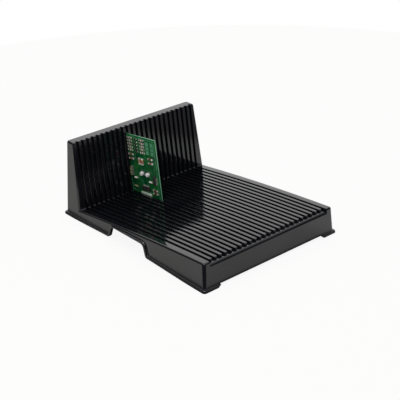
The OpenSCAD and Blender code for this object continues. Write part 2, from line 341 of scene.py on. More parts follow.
def bevelEdges(mesh, chosen, width, steps):
    # rounds the edges that chosen picks
    shape = bmesh.new()
    shape.from_mesh(mesh)
    shape.normal_update()
    edges = [e for e in shape.edges if len(e.link_faces) == 2 and chosen(e)]
    bmesh.ops.bevel(
        shape, geom=edges, offset=width * mm, offset_type="OFFSET", segments=steps, profile=0.5,
        affect="EDGES", clamp_overlap=False,
    )
    bmesh.ops.remove_doubles(shape, verts=shape.verts, dist=2 * mergeDistance)
    shape.to_mesh(mesh)
    shape.free()


def isSide(face):
    # a drafted outside face, and not the front of the wall
    normal, facing = face.normal, edgePick["facing"]
    if abs(normal.z) > edgePick["lean"]:
        return False
    return normal.y > -facing or abs(normal.x) > facing or face.calc_center_median().y < 0


def standsOver(edge, height):
    return min(corner.co.z for corner in edge.verts) >= height * mm


def outerEdge(edge):
    if not standsOver(edge, edgePick["outerLow"]) or all(isSide(f) for f in edge.link_faces):
        return False
    return edge.calc_face_angle() > edgePick["outerTurn"]


def fineEdge(edge):
    if not standsOver(edge, edgePick["fineLow"]):
        return False
    return edge.calc_face_angle() > edgePick["fineTurn"] and edge.is_convex


def buildShell():
    skin, radius = rackForm["skin"], rackForm["cornerRadius"]
    shell = block("rackShell", 0, -rackForm["bodySpare"], wallTop + rackForm["bodySpare"], radius)
    combine(shell, prism("outline", bodyOutline(), -bodyWidth, bodyWidth), "INTERSECT")
    bevelEdges(shell.data, outerEdge, rackForm["edgeRadius"], rackForm["edgeSteps"])
    combine(shell, prism("field", fieldOutline(), -fieldWidth / 2, fieldWidth / 2), "DIFFERENCE")
    bevelEdges(shell.data, fineEdge, rackForm["fineRadius"], rackForm["fineSteps"])
    hollow = block("hollow", -skin, -rackForm["hollowSpare"], wallTop, radius - skin)
    combine(hollow, prism("room", hollowOutline(), -bodyWidth, bodyWidth), "INTERSECT")
    combine(shell, hollow, "DIFFERENCE")
    edge = [(y, z) for y, z, _, _ in notchPath()]
    outline = [(edge[0][0], -over)] + edge + [(edge[-1][0], -over)]
    inner = bodyWidth / 2 - skin - rackForm["notchSpare"]
    for low, high in ((-bodyWidth, -inner), (inner, bodyWidth)):
        combine(shell, prism("notch", outline, low, high), "DIFFERENCE")
    front = -bodyDepth / 2
    rings = [[(x, y, z) for x, z in gapOutline()] for y in (front - over, front + 2 * skin)]
    combine(shell, addPiece("gap", meshFrom("gap", *stackRings(rings))), "DIFFERENCE")
    return shell


shell = buildShell()
print("shell:", len(shell.data.polygons), "faces")


# Node helpers and the shared shader group

def plug(tree, value, socket):
    # another node's output is linked to the socket, and anything else is set on it
    if isinstance(value, bpy.types.NodeSocket):
        tree.links.new(value, socket)
    else:
        socket.default_value = value


def addNode(tree, kind, place, **values):
    # a node with its own settings and its inputs, each by name
    node = tree.nodes.new(kind)
    node.location = place
    for name, value in values.items():
        if hasattr(node, name):
            setattr(node, name, value)
        else:
            plug(tree, value, node.inputs[name])
    return node


def calc(tree, operation, first, second, place):
    node = addNode(tree, "ShaderNodeMath", place, operation=operation)
    plug(tree, first, node.inputs[0])
    plug(tree, second, node.inputs[1])
    return node.outputs[0]


def ramp(tree, value, low, high, place, kind="LINEAR"):
    # from nothing at low to all at high
    node = addNode(tree, "ShaderNodeMapRange", place, interpolation_type=kind, Value=value)
    node.inputs["From Min"].default_value = low
    node.inputs["From Max"].default_value = high
    return node.outputs["Result"]


def mixLevels(tree, share, first, second, place):
    node = addNode(tree, "ShaderNodeMix", place)
    plug(tree, share, node.inputs[0])
    plug(tree, first, node.inputs[2])
    plug(tree, second, node.inputs[3])
    return node.outputs[0]


def mixColours(tree, share, first, second, place):
    node = addNode(tree, "ShaderNodeMix", place, data_type="RGBA")
    plug(tree, share, node.inputs[0])
    for colour, socket in ((first, node.inputs[6]), (second, node.inputs[7])):
        plug(tree, (*colour, 1.0) if isinstance(colour, tuple) else colour, socket)
    return node.outputs[2]


def addSockets(tree, way, sockets):
    for name, kind in sockets:
        tree.interface.new_socket(name, in_out=way, socket_type="NodeSocket" + kind)


grainForm = {
    "fine": {"Detail": 3.0, "Roughness": 0.55},
    "broad": {"Detail": 4.0, "Roughness": 0.5},
    "spread": (0.3, 0.7),  # range of the broad noise that is spread from nothing to all
    "edgeTurn": (0.3, 0.6),  # a sheet's normal along X, from its sawn edge to its face
    "grainScale": 900.0, "contrast": 0.5, "bump": 0.05, "bumpDepth": 0.0001, "ior": 1.5,
}


def makeGrainGroup(form):
    # fine grain and broad unevenness of a moulded or painted surface, in object space
    group = bpy.data.node_groups.new("surfaceGrain", "ShaderNodeTree")
    addSockets(group, "INPUT", [(n, "Float") for n in ("Grain Scale", "Broad Scale", "Contrast")])
    addSockets(group, "OUTPUT", [(n, "Float") for n in ("Grain", "Broad", "Height")])
    given = addNode(group, "NodeGroupInput", (-800, 0)).outputs
    place = addNode(group, "ShaderNodeTexCoord", (-800, -200)).outputs["Object"]
    fine = addNode(
        group, "ShaderNodeTexNoise", (-400, 150), Vector=place, Scale=given["Grain Scale"],
        **form["fine"],
    ).outputs["Fac"]
    broad = addNode(
        group, "ShaderNodeTexNoise", (-400, -150), Vector=place, Scale=given["Broad Scale"],
        **form["broad"],
    ).outputs["Fac"]
    spread = ramp(group, broad, *form["spread"], (-100, -150))
    mix = addNode(group, "ShaderNodeMath", (200, 0), operation="MULTIPLY_ADD")
    for value, socket in zip((spread, given["Contrast"], fine), mix.inputs):
        plug(group, value, socket)
    addNode(group, "NodeGroupOutput", (600, 0), Grain=fine, Broad=spread, Height=mix.outputs[0])
    return group


grainGroup = makeGrainGroup(grainForm)


def edgeTint(tree, faceColour, edgeColour):
    # the sawn edge of a sheet that lies across X shows its own colour
    side = addNode(tree, "ShaderNodeNewGeometry", (-700, 500)).outputs["Normal"]
    across = addNode(tree, "ShaderNodeSeparateXYZ", (-520, 500), Vector=side).outputs["X"]
    size = calc(tree, "ABSOLUTE", across, 0, (-340, 500))
    flat = ramp(tree, size, *grainForm["edgeTurn"], (-160, 500))
    return mixColours(tree, flat, edgeColour, faceColour, (0, 300))


def grainMaterial(name, look):
    # a Principled surface whose colour, roughness and height vary with the grain group
    material = bpy.data.materials.new(name)
    material.use_nodes = True
    tree = material.node_tree
    shader = tree.nodes["Principled BSDF"]
    shader.inputs["Metallic"].default_value = look.get("metallic", 0.0)
    shader.inputs["IOR"].default_value = look.get("ior", grainForm["ior"])
    grain = addNode(tree, "ShaderNodeGroup", (-700, 0), node_tree=grainGroup)
    grain.inputs["Grain Scale"].default_value = grainForm["grainScale"]
    grain.inputs["Broad Scale"].default_value = look["broadScale"]
    grain.inputs["Contrast"].default_value = grainForm["contrast"]
    broad = grain.outputs["Broad"]
    tint = mixColours(tree, broad, look["colour"], look["colourTwo"], (-400, 200))
    if "edgeColour" in look:
        tint = edgeTint(tree, tint, look["edgeColour"])
    rough = addNode(tree, "ShaderNodeMapRange", (-400, -50), Value=broad)
    rough.inputs["To Min"].default_value, rough.inputs["To Max"].default_value = look["roughness"]
    bump = addNode(
        tree, "ShaderNodeBump", (-400, -350), Height=grain.outputs["Height"],
        Strength=look.get("bump", grainForm["bump"]), Distance=grainForm["bumpDepth"],
    )
    plug(tree, tint, shader.inputs["Base Color"])
    plug(tree, rough.outputs["Result"], shader.inputs["Roughness"])
    plug(tree, bump.outputs["Normal"], shader.inputs["Normal"])
    return material


looks = {
    "rackPlastic": {
        "colour": (0.0036, 0.0039, 0.0056), "colourTwo": (0.007, 0.0073, 0.0095),
        "roughness": (0.06, 0.11), "bump": 0.03, "broadScale": 18.0, "ior": 1.55,
    },
    "laminate": {
        "colour": (0.001, 0.045, 0.021), "colourTwo": (0.004, 0.15, 0.021),
        "roughness": (0.25, 0.35), "broadScale": 45.0, "edgeColour": (0.17, 0.42, 0.25),
    },
    "maskedCopper": {
        "colour": (0.01, 0.11, 0.036), "colourTwo": (0.035, 0.2, 0.08),
        "roughness": (0.22, 0.3), "broadScale": 120.0,
    },
    "denseCopper": {
        "colour": (0.05, 0.2, 0.1), "colourTwo": (0.1, 0.31, 0.17),
        "roughness": (0.22, 0.3), "broadScale": 150.0,
    },
    "whitePrint": {
        "colour": (0.6, 0.64, 0.58), "colourTwo": (0.72, 0.74, 0.7),
        "roughness": (0.45, 0.6), "broadScale": 300.0,
    },
    "paleCeramic": {
        "colour": (0.05, 0.022, 0.018), "colourTwo": (0.27, 0.15, 0.11),
        "roughness": (0.4, 0.55), "broadScale": 110.0,
    },
    "whiteCeramic": {
        "colour": (0.76, 0.75, 0.7), "colourTwo": (0.82, 0.81, 0.77),
        "roughness": (0.35, 0.5), "broadScale": 300.0,
    },
    "tin": {
        "colour": (0.5, 0.48, 0.4), "colourTwo": (1.0, 1.0, 0.93),
        "roughness": (0.35, 0.5), "metallic": 0.35, "broadScale": 120.0, "bump": 0.3,
    },
    "blackEpoxy": {
        "colour": (0.02, 0.02, 0.022), "colourTwo": (0.035, 0.034, 0.034),
        "roughness": (0.45, 0.6), "broadScale": 200.0, "bump": 0.25,
    },
    "orangeResin": {
        "colour": (0.26, 0.06, 0.03), "colourTwo": (0.5, 0.25, 0.16),
        "roughness": (0.3, 0.42), "broadScale": 200.0,
    },
    "canAluminium": {
        "colour": (0.9, 0.9, 0.9), "colourTwo": (0.97, 0.97, 0.96),
        "roughness": (0.3, 0.42), "metallic": 0.15, "broadScale": 300.0, "bump": 0.1,
    },
    "greyPlastic": {
        "colour": (0.06, 0.06, 0.06), "colourTwo": (0.12, 0.12, 0.11),
        "roughness": (0.4, 0.5), "broadScale": 200.0,
    },
    "goldPlate": {
        "colour": (0.8, 0.68, 0.36), "colourTwo": (0.92, 0.84, 0.5),
        "roughness": (0.3, 0.42), "metallic": 0.4, "broadScale": 400.0,
    },
    "palePlastic": {
        "colour": (0.36, 0.47, 0.38), "colourTwo": (0.56, 0.66, 0.56),
        "roughness": (0.4, 0.55), "broadScale": 200.0,
    },
}
finishes = {name: grainMaterial(name, look) for name, look in looks.items()}


def camel(name):
    # board_laminate becomes boardLaminate
    first, *rest = name.split("_")
    return first + "".join(word.title() for word in rest)


def finishNodes():
    for row in frame["record"]["subparts"]:
        for slot in frame["nodes"][row["node"]].material_slots:
            slot.material = finishes[camel(row["material_slot"])]


def fitPiece(piece, finish, body, slot, *nodes):
    # its finish, the body that it rides on, and the nodes that it stands for, which are hidden;
    # slot is not used
    piece.data.materials.clear()
    piece.data.materials.append(finishes[finish])
    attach(piece, body)
    if nodes:
        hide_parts(*nodes)


finishNodes()
print("finishes:", len(finishes))


# The rim: one band along the lower edge, from foot to foot, over both hand notches

rimForm = {
    "topRadius": 1.9, "topSteps": 5, "lowRadius": 0.6, "lowSteps": 2,
    # points out from the wall, and up from the opening's edge or from the band's own height
    "inside": [(-0.8, 0.5), (0.15, 0.0)],
    "fillet": [(0.7, 0.05), (0.25, 0.3), (0.0, 0.8), (-0.8, 1.1)],
    "cornerInset": 0.5, "notchGap": 1.0, "cornerSteps": 8, "sideSteps": 10, "rearSteps": 4,
}


def bandPath():
    # side or corner, place along it, height, and the normal into the wall as along and up
    inset = rackForm["cornerRadius"] + rimForm["cornerInset"]
    spanX, spanY = bodyWidth / 2 - inset, bodyDepth / 2 - inset
    foot = bodyWidth / 2 + rackForm["rimOut"] - rackForm["footLength"]
    run, lift = rackForm["footSlope"], rackForm["frontLift"]
    footEnd = [(foot - run, lift), (foot - run / 2, lift / 2), (foot, 0), (spanX, 0)]

    def corner(quarter):
        turns = stations(90 * quarter, 90 * quarter + 90, rimForm["cornerSteps"])
        return [(quarter, turn, 0, 0, 1) for turn in turns]

    def longSide(name, way):
        notch = notchPath()[::way]
        gap = way * rimForm["notchGap"]
        before = stations(-way * spanY, notch[0][0] - gap, rimForm["sideSteps"])
        after = stations(notch[-1][0] + gap, way * spanY, rimForm["sideSteps"])
        row = [(name, y, baseAt(y), 0, 1) for y in before] + [(name, *step) for step in notch]
        return row + [(name, y, baseAt(y), 0, 1) for y in after]

    path = [("front", x, z, 0, 1) for x, z in footEnd]
    path += corner(3) + longSide("right", 1) + corner(0)
    path += [("rear", x, 0, 0, 1) for x in stations(spanX, -spanX, rimForm["rearSteps"])]
    path += corner(1) + longSide("left", -1) + corner(2)
    return path + [("front", -x, z, 0, 1) for x, z in reversed(footEnd)]


def onBody(side, place, z, out):
    # a place on the drafted outside of the body, standing out from it
    radius = rackForm["cornerRadius"]
    halfX = bodyWidth / 2 + out - z * draftTan
    halfY = bodyDepth / 2 + out - z * draftTan
    if side in (0, 1, 2, 3):
        sx, sy = ((1, 1), (-1, 1), (-1, -1), (1, -1))[side]
        turn = math.radians(place)
        return (
            sx * (halfX - radius) + radius * math.cos(turn),
            sy * (halfY - radius) + radius * math.sin(turn), z,
        )
    flat = {
        "front": (place, -halfY), "rear": (place, halfY),
        "left": (-halfX, place), "right": (halfX, place),
    }
    return (*flat[side], z)


def rimSection():
    # how far out from the wall, and how far from the opening's edge
    out, high = rackForm["rimOut"], rackForm["rimHeight"]
    top, low = rimForm["topRadius"], rimForm["lowRadius"]
    section = rimForm["inside"] + arc((out - low, low), low, 270, 360, rimForm["lowSteps"])
    section += arc((out - top, high - top), top, 0, 90, rimForm["topSteps"])
    return section + [(x, high + up) for x, up in rimForm["fillet"]]


def buildRim():
    section = rimSection()
    full = rackForm["rimHeight"]
    rings = []
    for side, place, z, along, up in bandPath():
        # the band dies away where a foot slopes up to the front edge
        share = (full - z) / full if side == "front" else 1.0
        # and it stays below the rounded edge of the deck where a notch comes close to it
        long = side in ("left", "right")
        limit = deckAt(place) - rackForm["edgeRadius"] if long else wallTop
        rings.append([
            onBody(side, place + along * away, min(z + up * away * share, limit), out)
            for out, away in section
        ])
    return meshFrom("rackRim", *stackRings(rings))


def joinMesh(piece, mesh):
    # adds another closed skin to a piece
    shape = bmesh.new()
    shape.from_mesh(piece.data)
    shape.from_mesh(mesh)
    shape.to_mesh(piece.data)
    shape.free()
    bpy.data.meshes.remove(mesh)


def levelNormals(piece):
    # flat faces shade flat right up to their rounded edges
    weigh = piece.modifiers.new("weigh", "WEIGHTED_NORMAL")
    weigh.keep_sharp = True
    settle(piece)


joinMesh(shell, buildRim())
smooth(shell.data, rackForm["smoothAngle"])
levelNormals(shell)
fitPiece(
    shell, "rackPlastic", "rack", "rack_plastic",
    "skirt", "deck_plate", "wall_shell", "deck_borders", "wall_borders",
)
print("shell and rim:", len(shell.data.polygons), "faces")


# The ribs: one rib in mesh code, set side by side by a node tree

ribForm = {
    "edgeRadius": 0.65, "edgeSteps": 3, "widthShare": 0.49, "heightShare": 0.9,
    "tipSteps": 7, "deckSteps": 14, "heelRadius": 2.6, "heelSteps": 6,
    "wallSteps": 4, "topRadius": 2.2, "topSteps": 5, "topDrop": 0.03,
    "sink": 0.5, "smoothAngle": 40.0,
}


def ribStations():
    # floor point, top point and width at each station, from the tip to the top of the wall
    half = ribWidth / 2
    deep = floorDrop + ribForm["sink"]
    radius = ribForm["heelRadius"]
    tip = frontAt(deckAt(-bodyDepth / 2)) + rackForm["tipSetback"]
    rows = []
    for i in range(ribForm["tipSteps"]):
        turn = math.pi / 2 * i / ribForm["tipSteps"]
        y = tip + half * (1 - math.cos(turn))
        fall = ribForm["edgeRadius"] * (1 - math.sin(turn))
        rows.append(((y, deckAt(y, deep)), (y, deckAt(y, fall)), ribWidth * math.sin(turn)))
    for y in stations(tip + half, wallFootY - radius, ribForm["deckSteps"]):
        rows.append(((y, deckAt(y, deep)), (y, deckAt(y)), ribWidth))
    heel = (heelOf(deep), deckAt(heelOf(deep), deep))
    start = Vector((wallFootY - radius, deckAt(wallFootY - radius)))
    middle = Vector((wallFootY, wallFootZ))
    end = Vector((wallAt(wallFootZ + radius), wallFootZ + radius))
    for i in range(1, ribForm["heelSteps"]):
        t = i / ribForm["heelSteps"]
        top = start * (1 - t) ** 2 + middle * 2 * t * (1 - t) + end * t ** 2
        rows.append((heel, tuple(top), ribWidth))
    radius = ribForm["topRadius"]
    for z in stations(end[1], wallTop - radius, ribForm["wallSteps"]):
        rows.append(((wallAt(z, deep), z), (wallAt(z), z), ribWidth))
    crest = wallTop - ribForm["topDrop"]
    back = (wallAt(crest, deep), crest)
    centre = (wallAt(wallTop - radius, radius), wallTop - radius)
    for y, z in arc(centre, radius, 180 - rackForm["tilt"], 90, ribForm["topSteps"])[1:]:
        rows.append((back, (y, min(z, crest)), ribWidth))
    return rows + [(back, back, ribWidth)]


def ribRing(floor, top, width):
    foot, head = Vector(floor), Vector(top)
    rise = head - foot
    most = width * ribForm["widthShare"], rise.length * ribForm["heightShare"]
    radius = min(ribForm["edgeRadius"], *most)
    up = rise.normalized() if rise.length else Vector((0, 1))
    shoulder = head - up * radius
    steps = ribForm["edgeSteps"]
    edges = arc((radius - width / 2, 0), radius, 180, 90, steps)
    edges += arc((width / 2 - radius, 0), radius, 90, 0, steps)
    ring = [(across, *(shoulder + up * lift)) for across, lift in edges]
    return [(-width / 2, *foot)] + ring + [(width / 2, *foot)]


def makeRowTree():
    # copies of a shape in an even row, with the shape's own place in the middle
    tree = bpy.data.node_groups.new("evenRow", "GeometryNodeTree")
    sockets = (("Shape", "Geometry"), ("Count", "Int"), ("Step", "Vector"), ("Finish", "Material"))
    addSockets(tree, "INPUT", sockets)
    addSockets(tree, "OUTPUT", sockets[:1])
    given = addNode(tree, "NodeGroupInput", (-800, 0)).outputs
    gaps = calc(tree, "SUBTRACT", given["Count"], 1.0, (-600, -200))
    back = calc(tree, "MULTIPLY", gaps, -0.5, (-420, -200))
    start = addNode(
        tree, "ShaderNodeVectorMath", (-240, -200), operation="SCALE",
        Vector=given["Step"], Scale=back,
    )
    line = addNode(
        tree, "GeometryNodeMeshLine", (-60, -100), mode="OFFSET",
        Count=given["Count"], Offset=given["Step"],
    )
    plug(tree, start.outputs[0], line.inputs["Start Location"])
    place = addNode(
        tree, "GeometryNodeInstanceOnPoints", (120, 0),
        Points=line.outputs[0], Instance=given["Shape"],
    )
    real = addNode(tree, "GeometryNodeRealizeInstances", (300, 0), Geometry=place.outputs[0])
    paint = addNode(
        tree, "GeometryNodeSetMaterial", (480, 0),
        Geometry=real.outputs[0], Material=given["Finish"],
    )
    addNode(tree, "NodeGroupOutput", (660, 0), Shape=paint.outputs[0])
    return tree


rowTree = makeRowTree()


def setInRow(piece, **values):
    # the row tree worked into a plain mesh, its inputs set by their identifiers
    work = piece.modifiers.new("row", "NODES")
    work.node_group = rowTree
    for item in rowTree.interface.items_tree:
        if item.in_out == "INPUT" and item.name in values:
            work[item.identifier] = values[item.name]
    settle(piece)


def buildRibs():
    mesh = meshFrom("oneRib", *stackRings([ribRing(*row) for row in ribStations()]))
    smooth(mesh, ribForm["smoothAngle"])
    ribs = addPiece("rackRibs", mesh)
    setInRow(
        ribs, Count=rackForm["slotCount"] - 1, Step=[slotPitch * mm, 0.0, 0.0],
        Finish=finishes["rackPlastic"],
    )
    levelNormals(ribs)
    fitPiece(ribs, "rackPlastic", "rack", "rack_plastic", "deck_ribs", "wall_ribs")
    return ribs


ribs = buildRibs()
print("ribs:", len(ribs.data.polygons), "faces")


# The circuit board, in millimetres from its lower rear corner: across, up and out of its face

boardForm = {
    "width": 78.0, "height": 104.0, "thickness": 1.6,
    "mergeAngle": 1.0, "bevelAngle": 40.0, "bevelSteps": 2, "smoothAngle": 30.0,
    # heights over the face, and how far plates start below it
    "copperRise": 0.06, "padRise": 0.14, "printRise": 0.09, "sink": 0.1,
    "mitreLimit": 0.5, "printWidth": 0.16, "printGap": 0.01, "padMargin": 0.15,
    "padNodes": ("resistor_ends", "diode_tabs", "capacitor_ends", "tantalum_ends", "choke_ends"),
    "printMargins": {"can_bases": 0.9, "header_body": 0.7, "terminal_strip": 0.6},
}
boardLow, boardHigh = (Vector(corner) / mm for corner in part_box("board_laminate"))
heelY = heelOf(floorDrop)
boardRise = deckAt(heelY - boardForm["width"], floorDrop) - deckAt(heelY, floorDrop)
boardTurn = math.atan2(boardRise, boardForm["width"])
acrossBoard = Vector((0, -math.cos(boardTurn), math.sin(boardTurn)))
upBoard = Vector((0, math.sin(boardTurn), math.cos(boardTurn)))
boardCorner = Vector((boardLow.x, boardHigh.y - upBoard.y * boardForm["height"], boardLow.z))


def onBoard(u, v, h):
    return boardCorner + acrossBoard * u + upBoard * v - Vector((h, 0, 0))


def fromBoard(point):
    away = Vector(point) / mm - boardCorner
    return away.dot(acrossBoard), away.dot(upBoard), -away.x


def mergedCopy(name):
    # the shape of a CAD node with its loose triangles joined and flat areas made one
    shape = bmesh.new()
    shape.from_mesh(frame["nodes"][name].data)
    bmesh.ops.remove_doubles(shape, verts=shape.verts, dist=mergeDistance)
    turn = math.radians(boardForm["mergeAngle"])
    bmesh.ops.dissolve_limit(shape, angle_limit=turn, verts=shape.verts, edges=shape.edges)
    return shape


def islandBoxes(name, margin=0.0):
    # low and high corner on the board of every separate part of a CAD node, with a margin
    shape = mergedCopy(name)
    left = set(shape.verts)
    boxes = []
    while left:
        front, found = [left.pop()], []
        while front:
            corner = front.pop()
            found.append(fromBoard(corner.co))
            near = {edge.other_vert(corner) for edge in corner.link_edges} & left
            left -= near
            front += near
        us, vs, _ = zip(*found)
        boxes.append(((min(us) - margin, min(vs) - margin), (max(us) + margin, max(vs) + margin)))
    shape.free()
    return sorted(boxes)


# node, slot, and how far its edges are rounded
softParts = [
    ("board_laminate", "laminate", 0.18),
    ("resistor_bodies", "pale_ceramic", 0.1),
    ("resistor_ends", "tin", 0.16),
    ("diode_bodies", "black_epoxy", 0.25),
    ("diode_tabs", "tin", 0.12),
    ("ceramic_capacitors", "pale_ceramic", 0.2),
    ("capacitor_ends", "tin", 0.3),
    ("tantalum_bodies", "orange_resin", 0.25),
    ("tantalum_ends", "tin", 0.25),
    ("can_bases", "black_epoxy", 0.2),
    ("capacitor_cans", "can_aluminium", 0.55),
    ("ferrite_chokes", "white_ceramic", 0.2),
    ("choke_ends", "tin", 0.3),
    ("chip_bodies", "black_epoxy", 0.22),
    ("chip_leads", "tin", 0.05),
    ("header_body", "grey_plastic", 0.18),
    ("header_pins", "gold_plate", 0.12),
    ("terminal_strip", "pale_plastic", 0.3),
]


def softPart(node, slot, width):
    # a part of the board with its edges rounded
    shape = mergedCopy(node)
    piece = addPiece(camel(node), bpy.data.meshes.new(camel(node)))
    shape.to_mesh(piece.data)
    shape.free()
    bevel = piece.modifiers.new("edges", "BEVEL")
    bevel.width = width * mm
    bevel.segments = boardForm["bevelSteps"]
    bevel.limit_method = "ANGLE"
    bevel.angle_limit = math.radians(boardForm["bevelAngle"])
    settle(piece)
    smooth(piece.data, boardForm["smoothAngle"])
    fitPiece(piece, camel(slot), "circuit_board", slot, node)


for row in softParts:
    softPart(*row)
print("parts of the board:", len(softParts))


# Copper under the green mask, bare pads and printed frames: thin plates on the board's face

copperForm = {
    "traceWidth": 0.55,
    # middle line, count of lines side by side and their pitch
    "buses": [
        ([(11, 40), (20, 40), (27, 47), (44, 47), (50, 53), (50, 74)], 5, 1.3),
        ([(33, 22.5), (33, 27), (25, 35)], 6, 1.2),
        ([(47, 22.5), (47, 28), (54, 35), (60.5, 35)], 5, 1.2),
        ([(4, 30), (4, 12), (9, 7), (24, 7)], 3, 1.3),
        ([(21, 56), (21, 72), (26, 77)], 4, 1.3),
        ([(70, 56), (70, 48), (64, 42)], 4, 1.3),
        ([(20.5, 24), (23, 24), (28, 19)], 3, 1.2),
        ([(55, 20), (55, 13), (59, 9)], 2, 1.3),
    ],
    # straight runs across the board beside the diodes, and half their width
    "runs": [(19.0, 35.5), (48.5, 52.3)], "runHalf": 0.3,
    "areas": [
        ((52.5, 91.0), (61.5, 98.5)), ((52.5, 84.0), (61.5, 90.0)), ((52.5, 77.0), (61.5, 83.0)),
        ((65.5, 91.0), (73.5, 98.5)), ((65.5, 84.0), (73.5, 90.0)), ((65.5, 77.0), (73.5, 83.0)),
    ],
    "testPads": [
        ((8.0, 14.0), (10.4, 16.2)), ((11.4, 14.0), (13.8, 16.2)), ((14.8, 14.0), (17.2, 16.2)),
    ],
    "edgeStrips": [
        ([(2.0, 101.6), (75.8, 101.6), (75.8, 2.6)], 0.9), ([(2.2, 3.0), (2.2, 27.0)], 0.8),
    ],
}


def thickLine(points, width):
    # outline of a bent line of even width, its corners mitred
    points = [Vector(p) for p in points]
    last = len(points) - 1
    left, right = [], []
    for i, point in enumerate(points):
        before = (point - points[i - 1]).normalized() if i else (points[1] - point).normalized()
        after = (points[i + 1] - point).normalized() if i < last else before
        normal = Vector((-before.y - after.y, before.x + after.x)).normalized()
        share = max(normal.dot(Vector((-before.y, before.x))), boardForm["mitreLimit"])
        left.append(point + normal * (width / 2 / share))
        right.append(point - normal * (width / 2 / share))
    return left + right[::-1]


def besideLine(points, offset):
    # the same bent line, moved to its left
    if not offset:
        return points
    outline = thickLine(points, 2 * abs(offset))
    return outline[:len(points)] if offset > 0 else outline[len(points):][::-1]


def rectangle(low, high):
    return [low, (high[0], low[1]), high, (low[0], high[1])]


def frameOf(low, high, width):
    # four strips round a rectangle, their ends meeting but not overlapping
    (x0, y0), (x1, y1) = low, high
    inner = width + boardForm["printGap"]
    return [
        rectangle((x0, y0), (x1, y0 + width)), rectangle((x0, y1 - width), (x1, y1)),
        rectangle((x0, y0 + inner), (x0 + width, y1 - inner)),
        rectangle((x1 - width, y0 + inner), (x1, y1 - inner)),
    ]


def copperOutlines(form):
    outlines = []
    for line, count, pitch in form["buses"]:
        for i in range(count):
            beside = besideLine(line, (i - (count - 1) / 2) * pitch)
            outlines.append(thickLine(beside, form["traceWidth"]))
    half = form["runHalf"]
    for low, high in islandBoxes("diode_bodies"):
        row = (low[1] + high[1]) / 2
        outlines += [rectangle((x0, row - half), (x1, row + half)) for x0, x1 in form["runs"]]
    return outlines


def areaOutlines(form):
    strips = [thickLine(line, width) for line, width in form["edgeStrips"]]
    return strips + [rectangle(*area) for area in form["areas"]]


def padOutlines(form):
    # one pad under every metal end, a little larger than it
    return [rectangle(*box) for n in form["padNodes"] for box in islandBoxes(n, form["padMargin"])]


def printOutlines(form):
    # plain printed frames round the larger parts
    return [
        strip for node, margin in form["printMargins"].items()
        for box in islandBoxes(node, margin) for strip in frameOf(*box, form["printWidth"])
    ]


def plateOf(outline, rise, shrink):
    # a closed plate that starts just under the board's face and narrows towards its top
    middle = sum((Vector(p) for p in outline), Vector((0, 0))) / len(outline)
    face = boardForm["thickness"]
    rings = []
    for height, inset in ((face - boardForm["sink"], 0.0), (face + rise, shrink)):
        away = [Vector(point) - middle for point in outline]
        places = [middle + a * max(0.0, 1 - inset / a.length) for a in away]
        rings.append([onBoard(place.x, place.y, height) for place in places])
    return stackRings(rings)


def platesOnBoard(name, outlines, rise, finish, slot, shrink=0.0):
    shapes = [plateOf(outline, boardForm[rise], shrink) for outline in outlines]
    piece = addPiece(name, meshFrom(name, *gather(shapes), merge=False))
    fitPiece(piece, finish, "circuit_board", slot)


testPads = [rectangle(*pad) for pad in copperForm["testPads"]]
copperLines, copperAreas = copperOutlines(copperForm), areaOutlines(copperForm)
platesOnBoard("boardCopper", copperLines, "copperRise", "maskedCopper", "laminate")
platesOnBoard("copperAreas", copperAreas, "copperRise", "denseCopper", "laminate")
platesOnBoard("solderPads", padOutlines(boardForm), "padRise", "tin", "tin", 0.25)
platesOnBoard("testPads", testPads, "padRise", "goldPlate", "gold_plate", 0.15)
platesOnBoard("printedFrames", printOutlines(boardForm), "printRise", "whitePrint", "white_ceramic")


# Plated holes, set in rows up the board by the same tree as the ribs

viaForm = {
    "outer": 0.75, "inner": 0.38, "sides": 12, "rise": 0.11, "topShare": 0.9, "shoulder": 0.6,
    # the middle hole of each row
    "rows": [
        (63.5, 80.0), (63.5, 86.0), (63.5, 92.0), (36.0, 54.5), (16.0, 52.0), (45.0, 38.0),
        (66.0, 21.0),
    ],
    "count": 5, "pitch": 2.1,
}


def ringPlate(u, v, form):
    # one flat ring round a hole, standing on the face of the board
    sides, outer, inner = form["sides"], form["outer"], form["inner"]
    face = boardForm["thickness"]
    low, high = face - boardForm["sink"], face + form["rise"]
    section = (
        (outer, low), (outer, face + form["rise"] * form["shoulder"]),
        (outer * form["topShare"], high), (inner, high), (inner, low),
    )
    count = len(section)
    vertices, faces = [], []
    for i in range(sides):
        turn = 2 * math.pi * i / sides
        vertices += [onBoard(u + r * math.cos(turn), v + r * math.sin(turn), h) for r, h in section]
        faces += bandFaces(i * count, (i + 1) % sides * count, count)
    return vertices, faces


def buildVias(form):
    shapes = [ringPlate(u, v, form) for u, v in form["rows"]]
    piece = addPiece("platedHoles", meshFrom("platedHoles", *gather(shapes)))
    finish = finishes["maskedCopper"]
    step = [c * form["pitch"] * mm for c in upBoard]
    setInRow(piece, Count=form["count"], Step=step, Finish=finish)
    fitPiece(piece, "maskedCopper", "circuit_board", "laminate")


buildVias(viaForm)
print("copper, pads, print and plated holes done")


# Floor and light

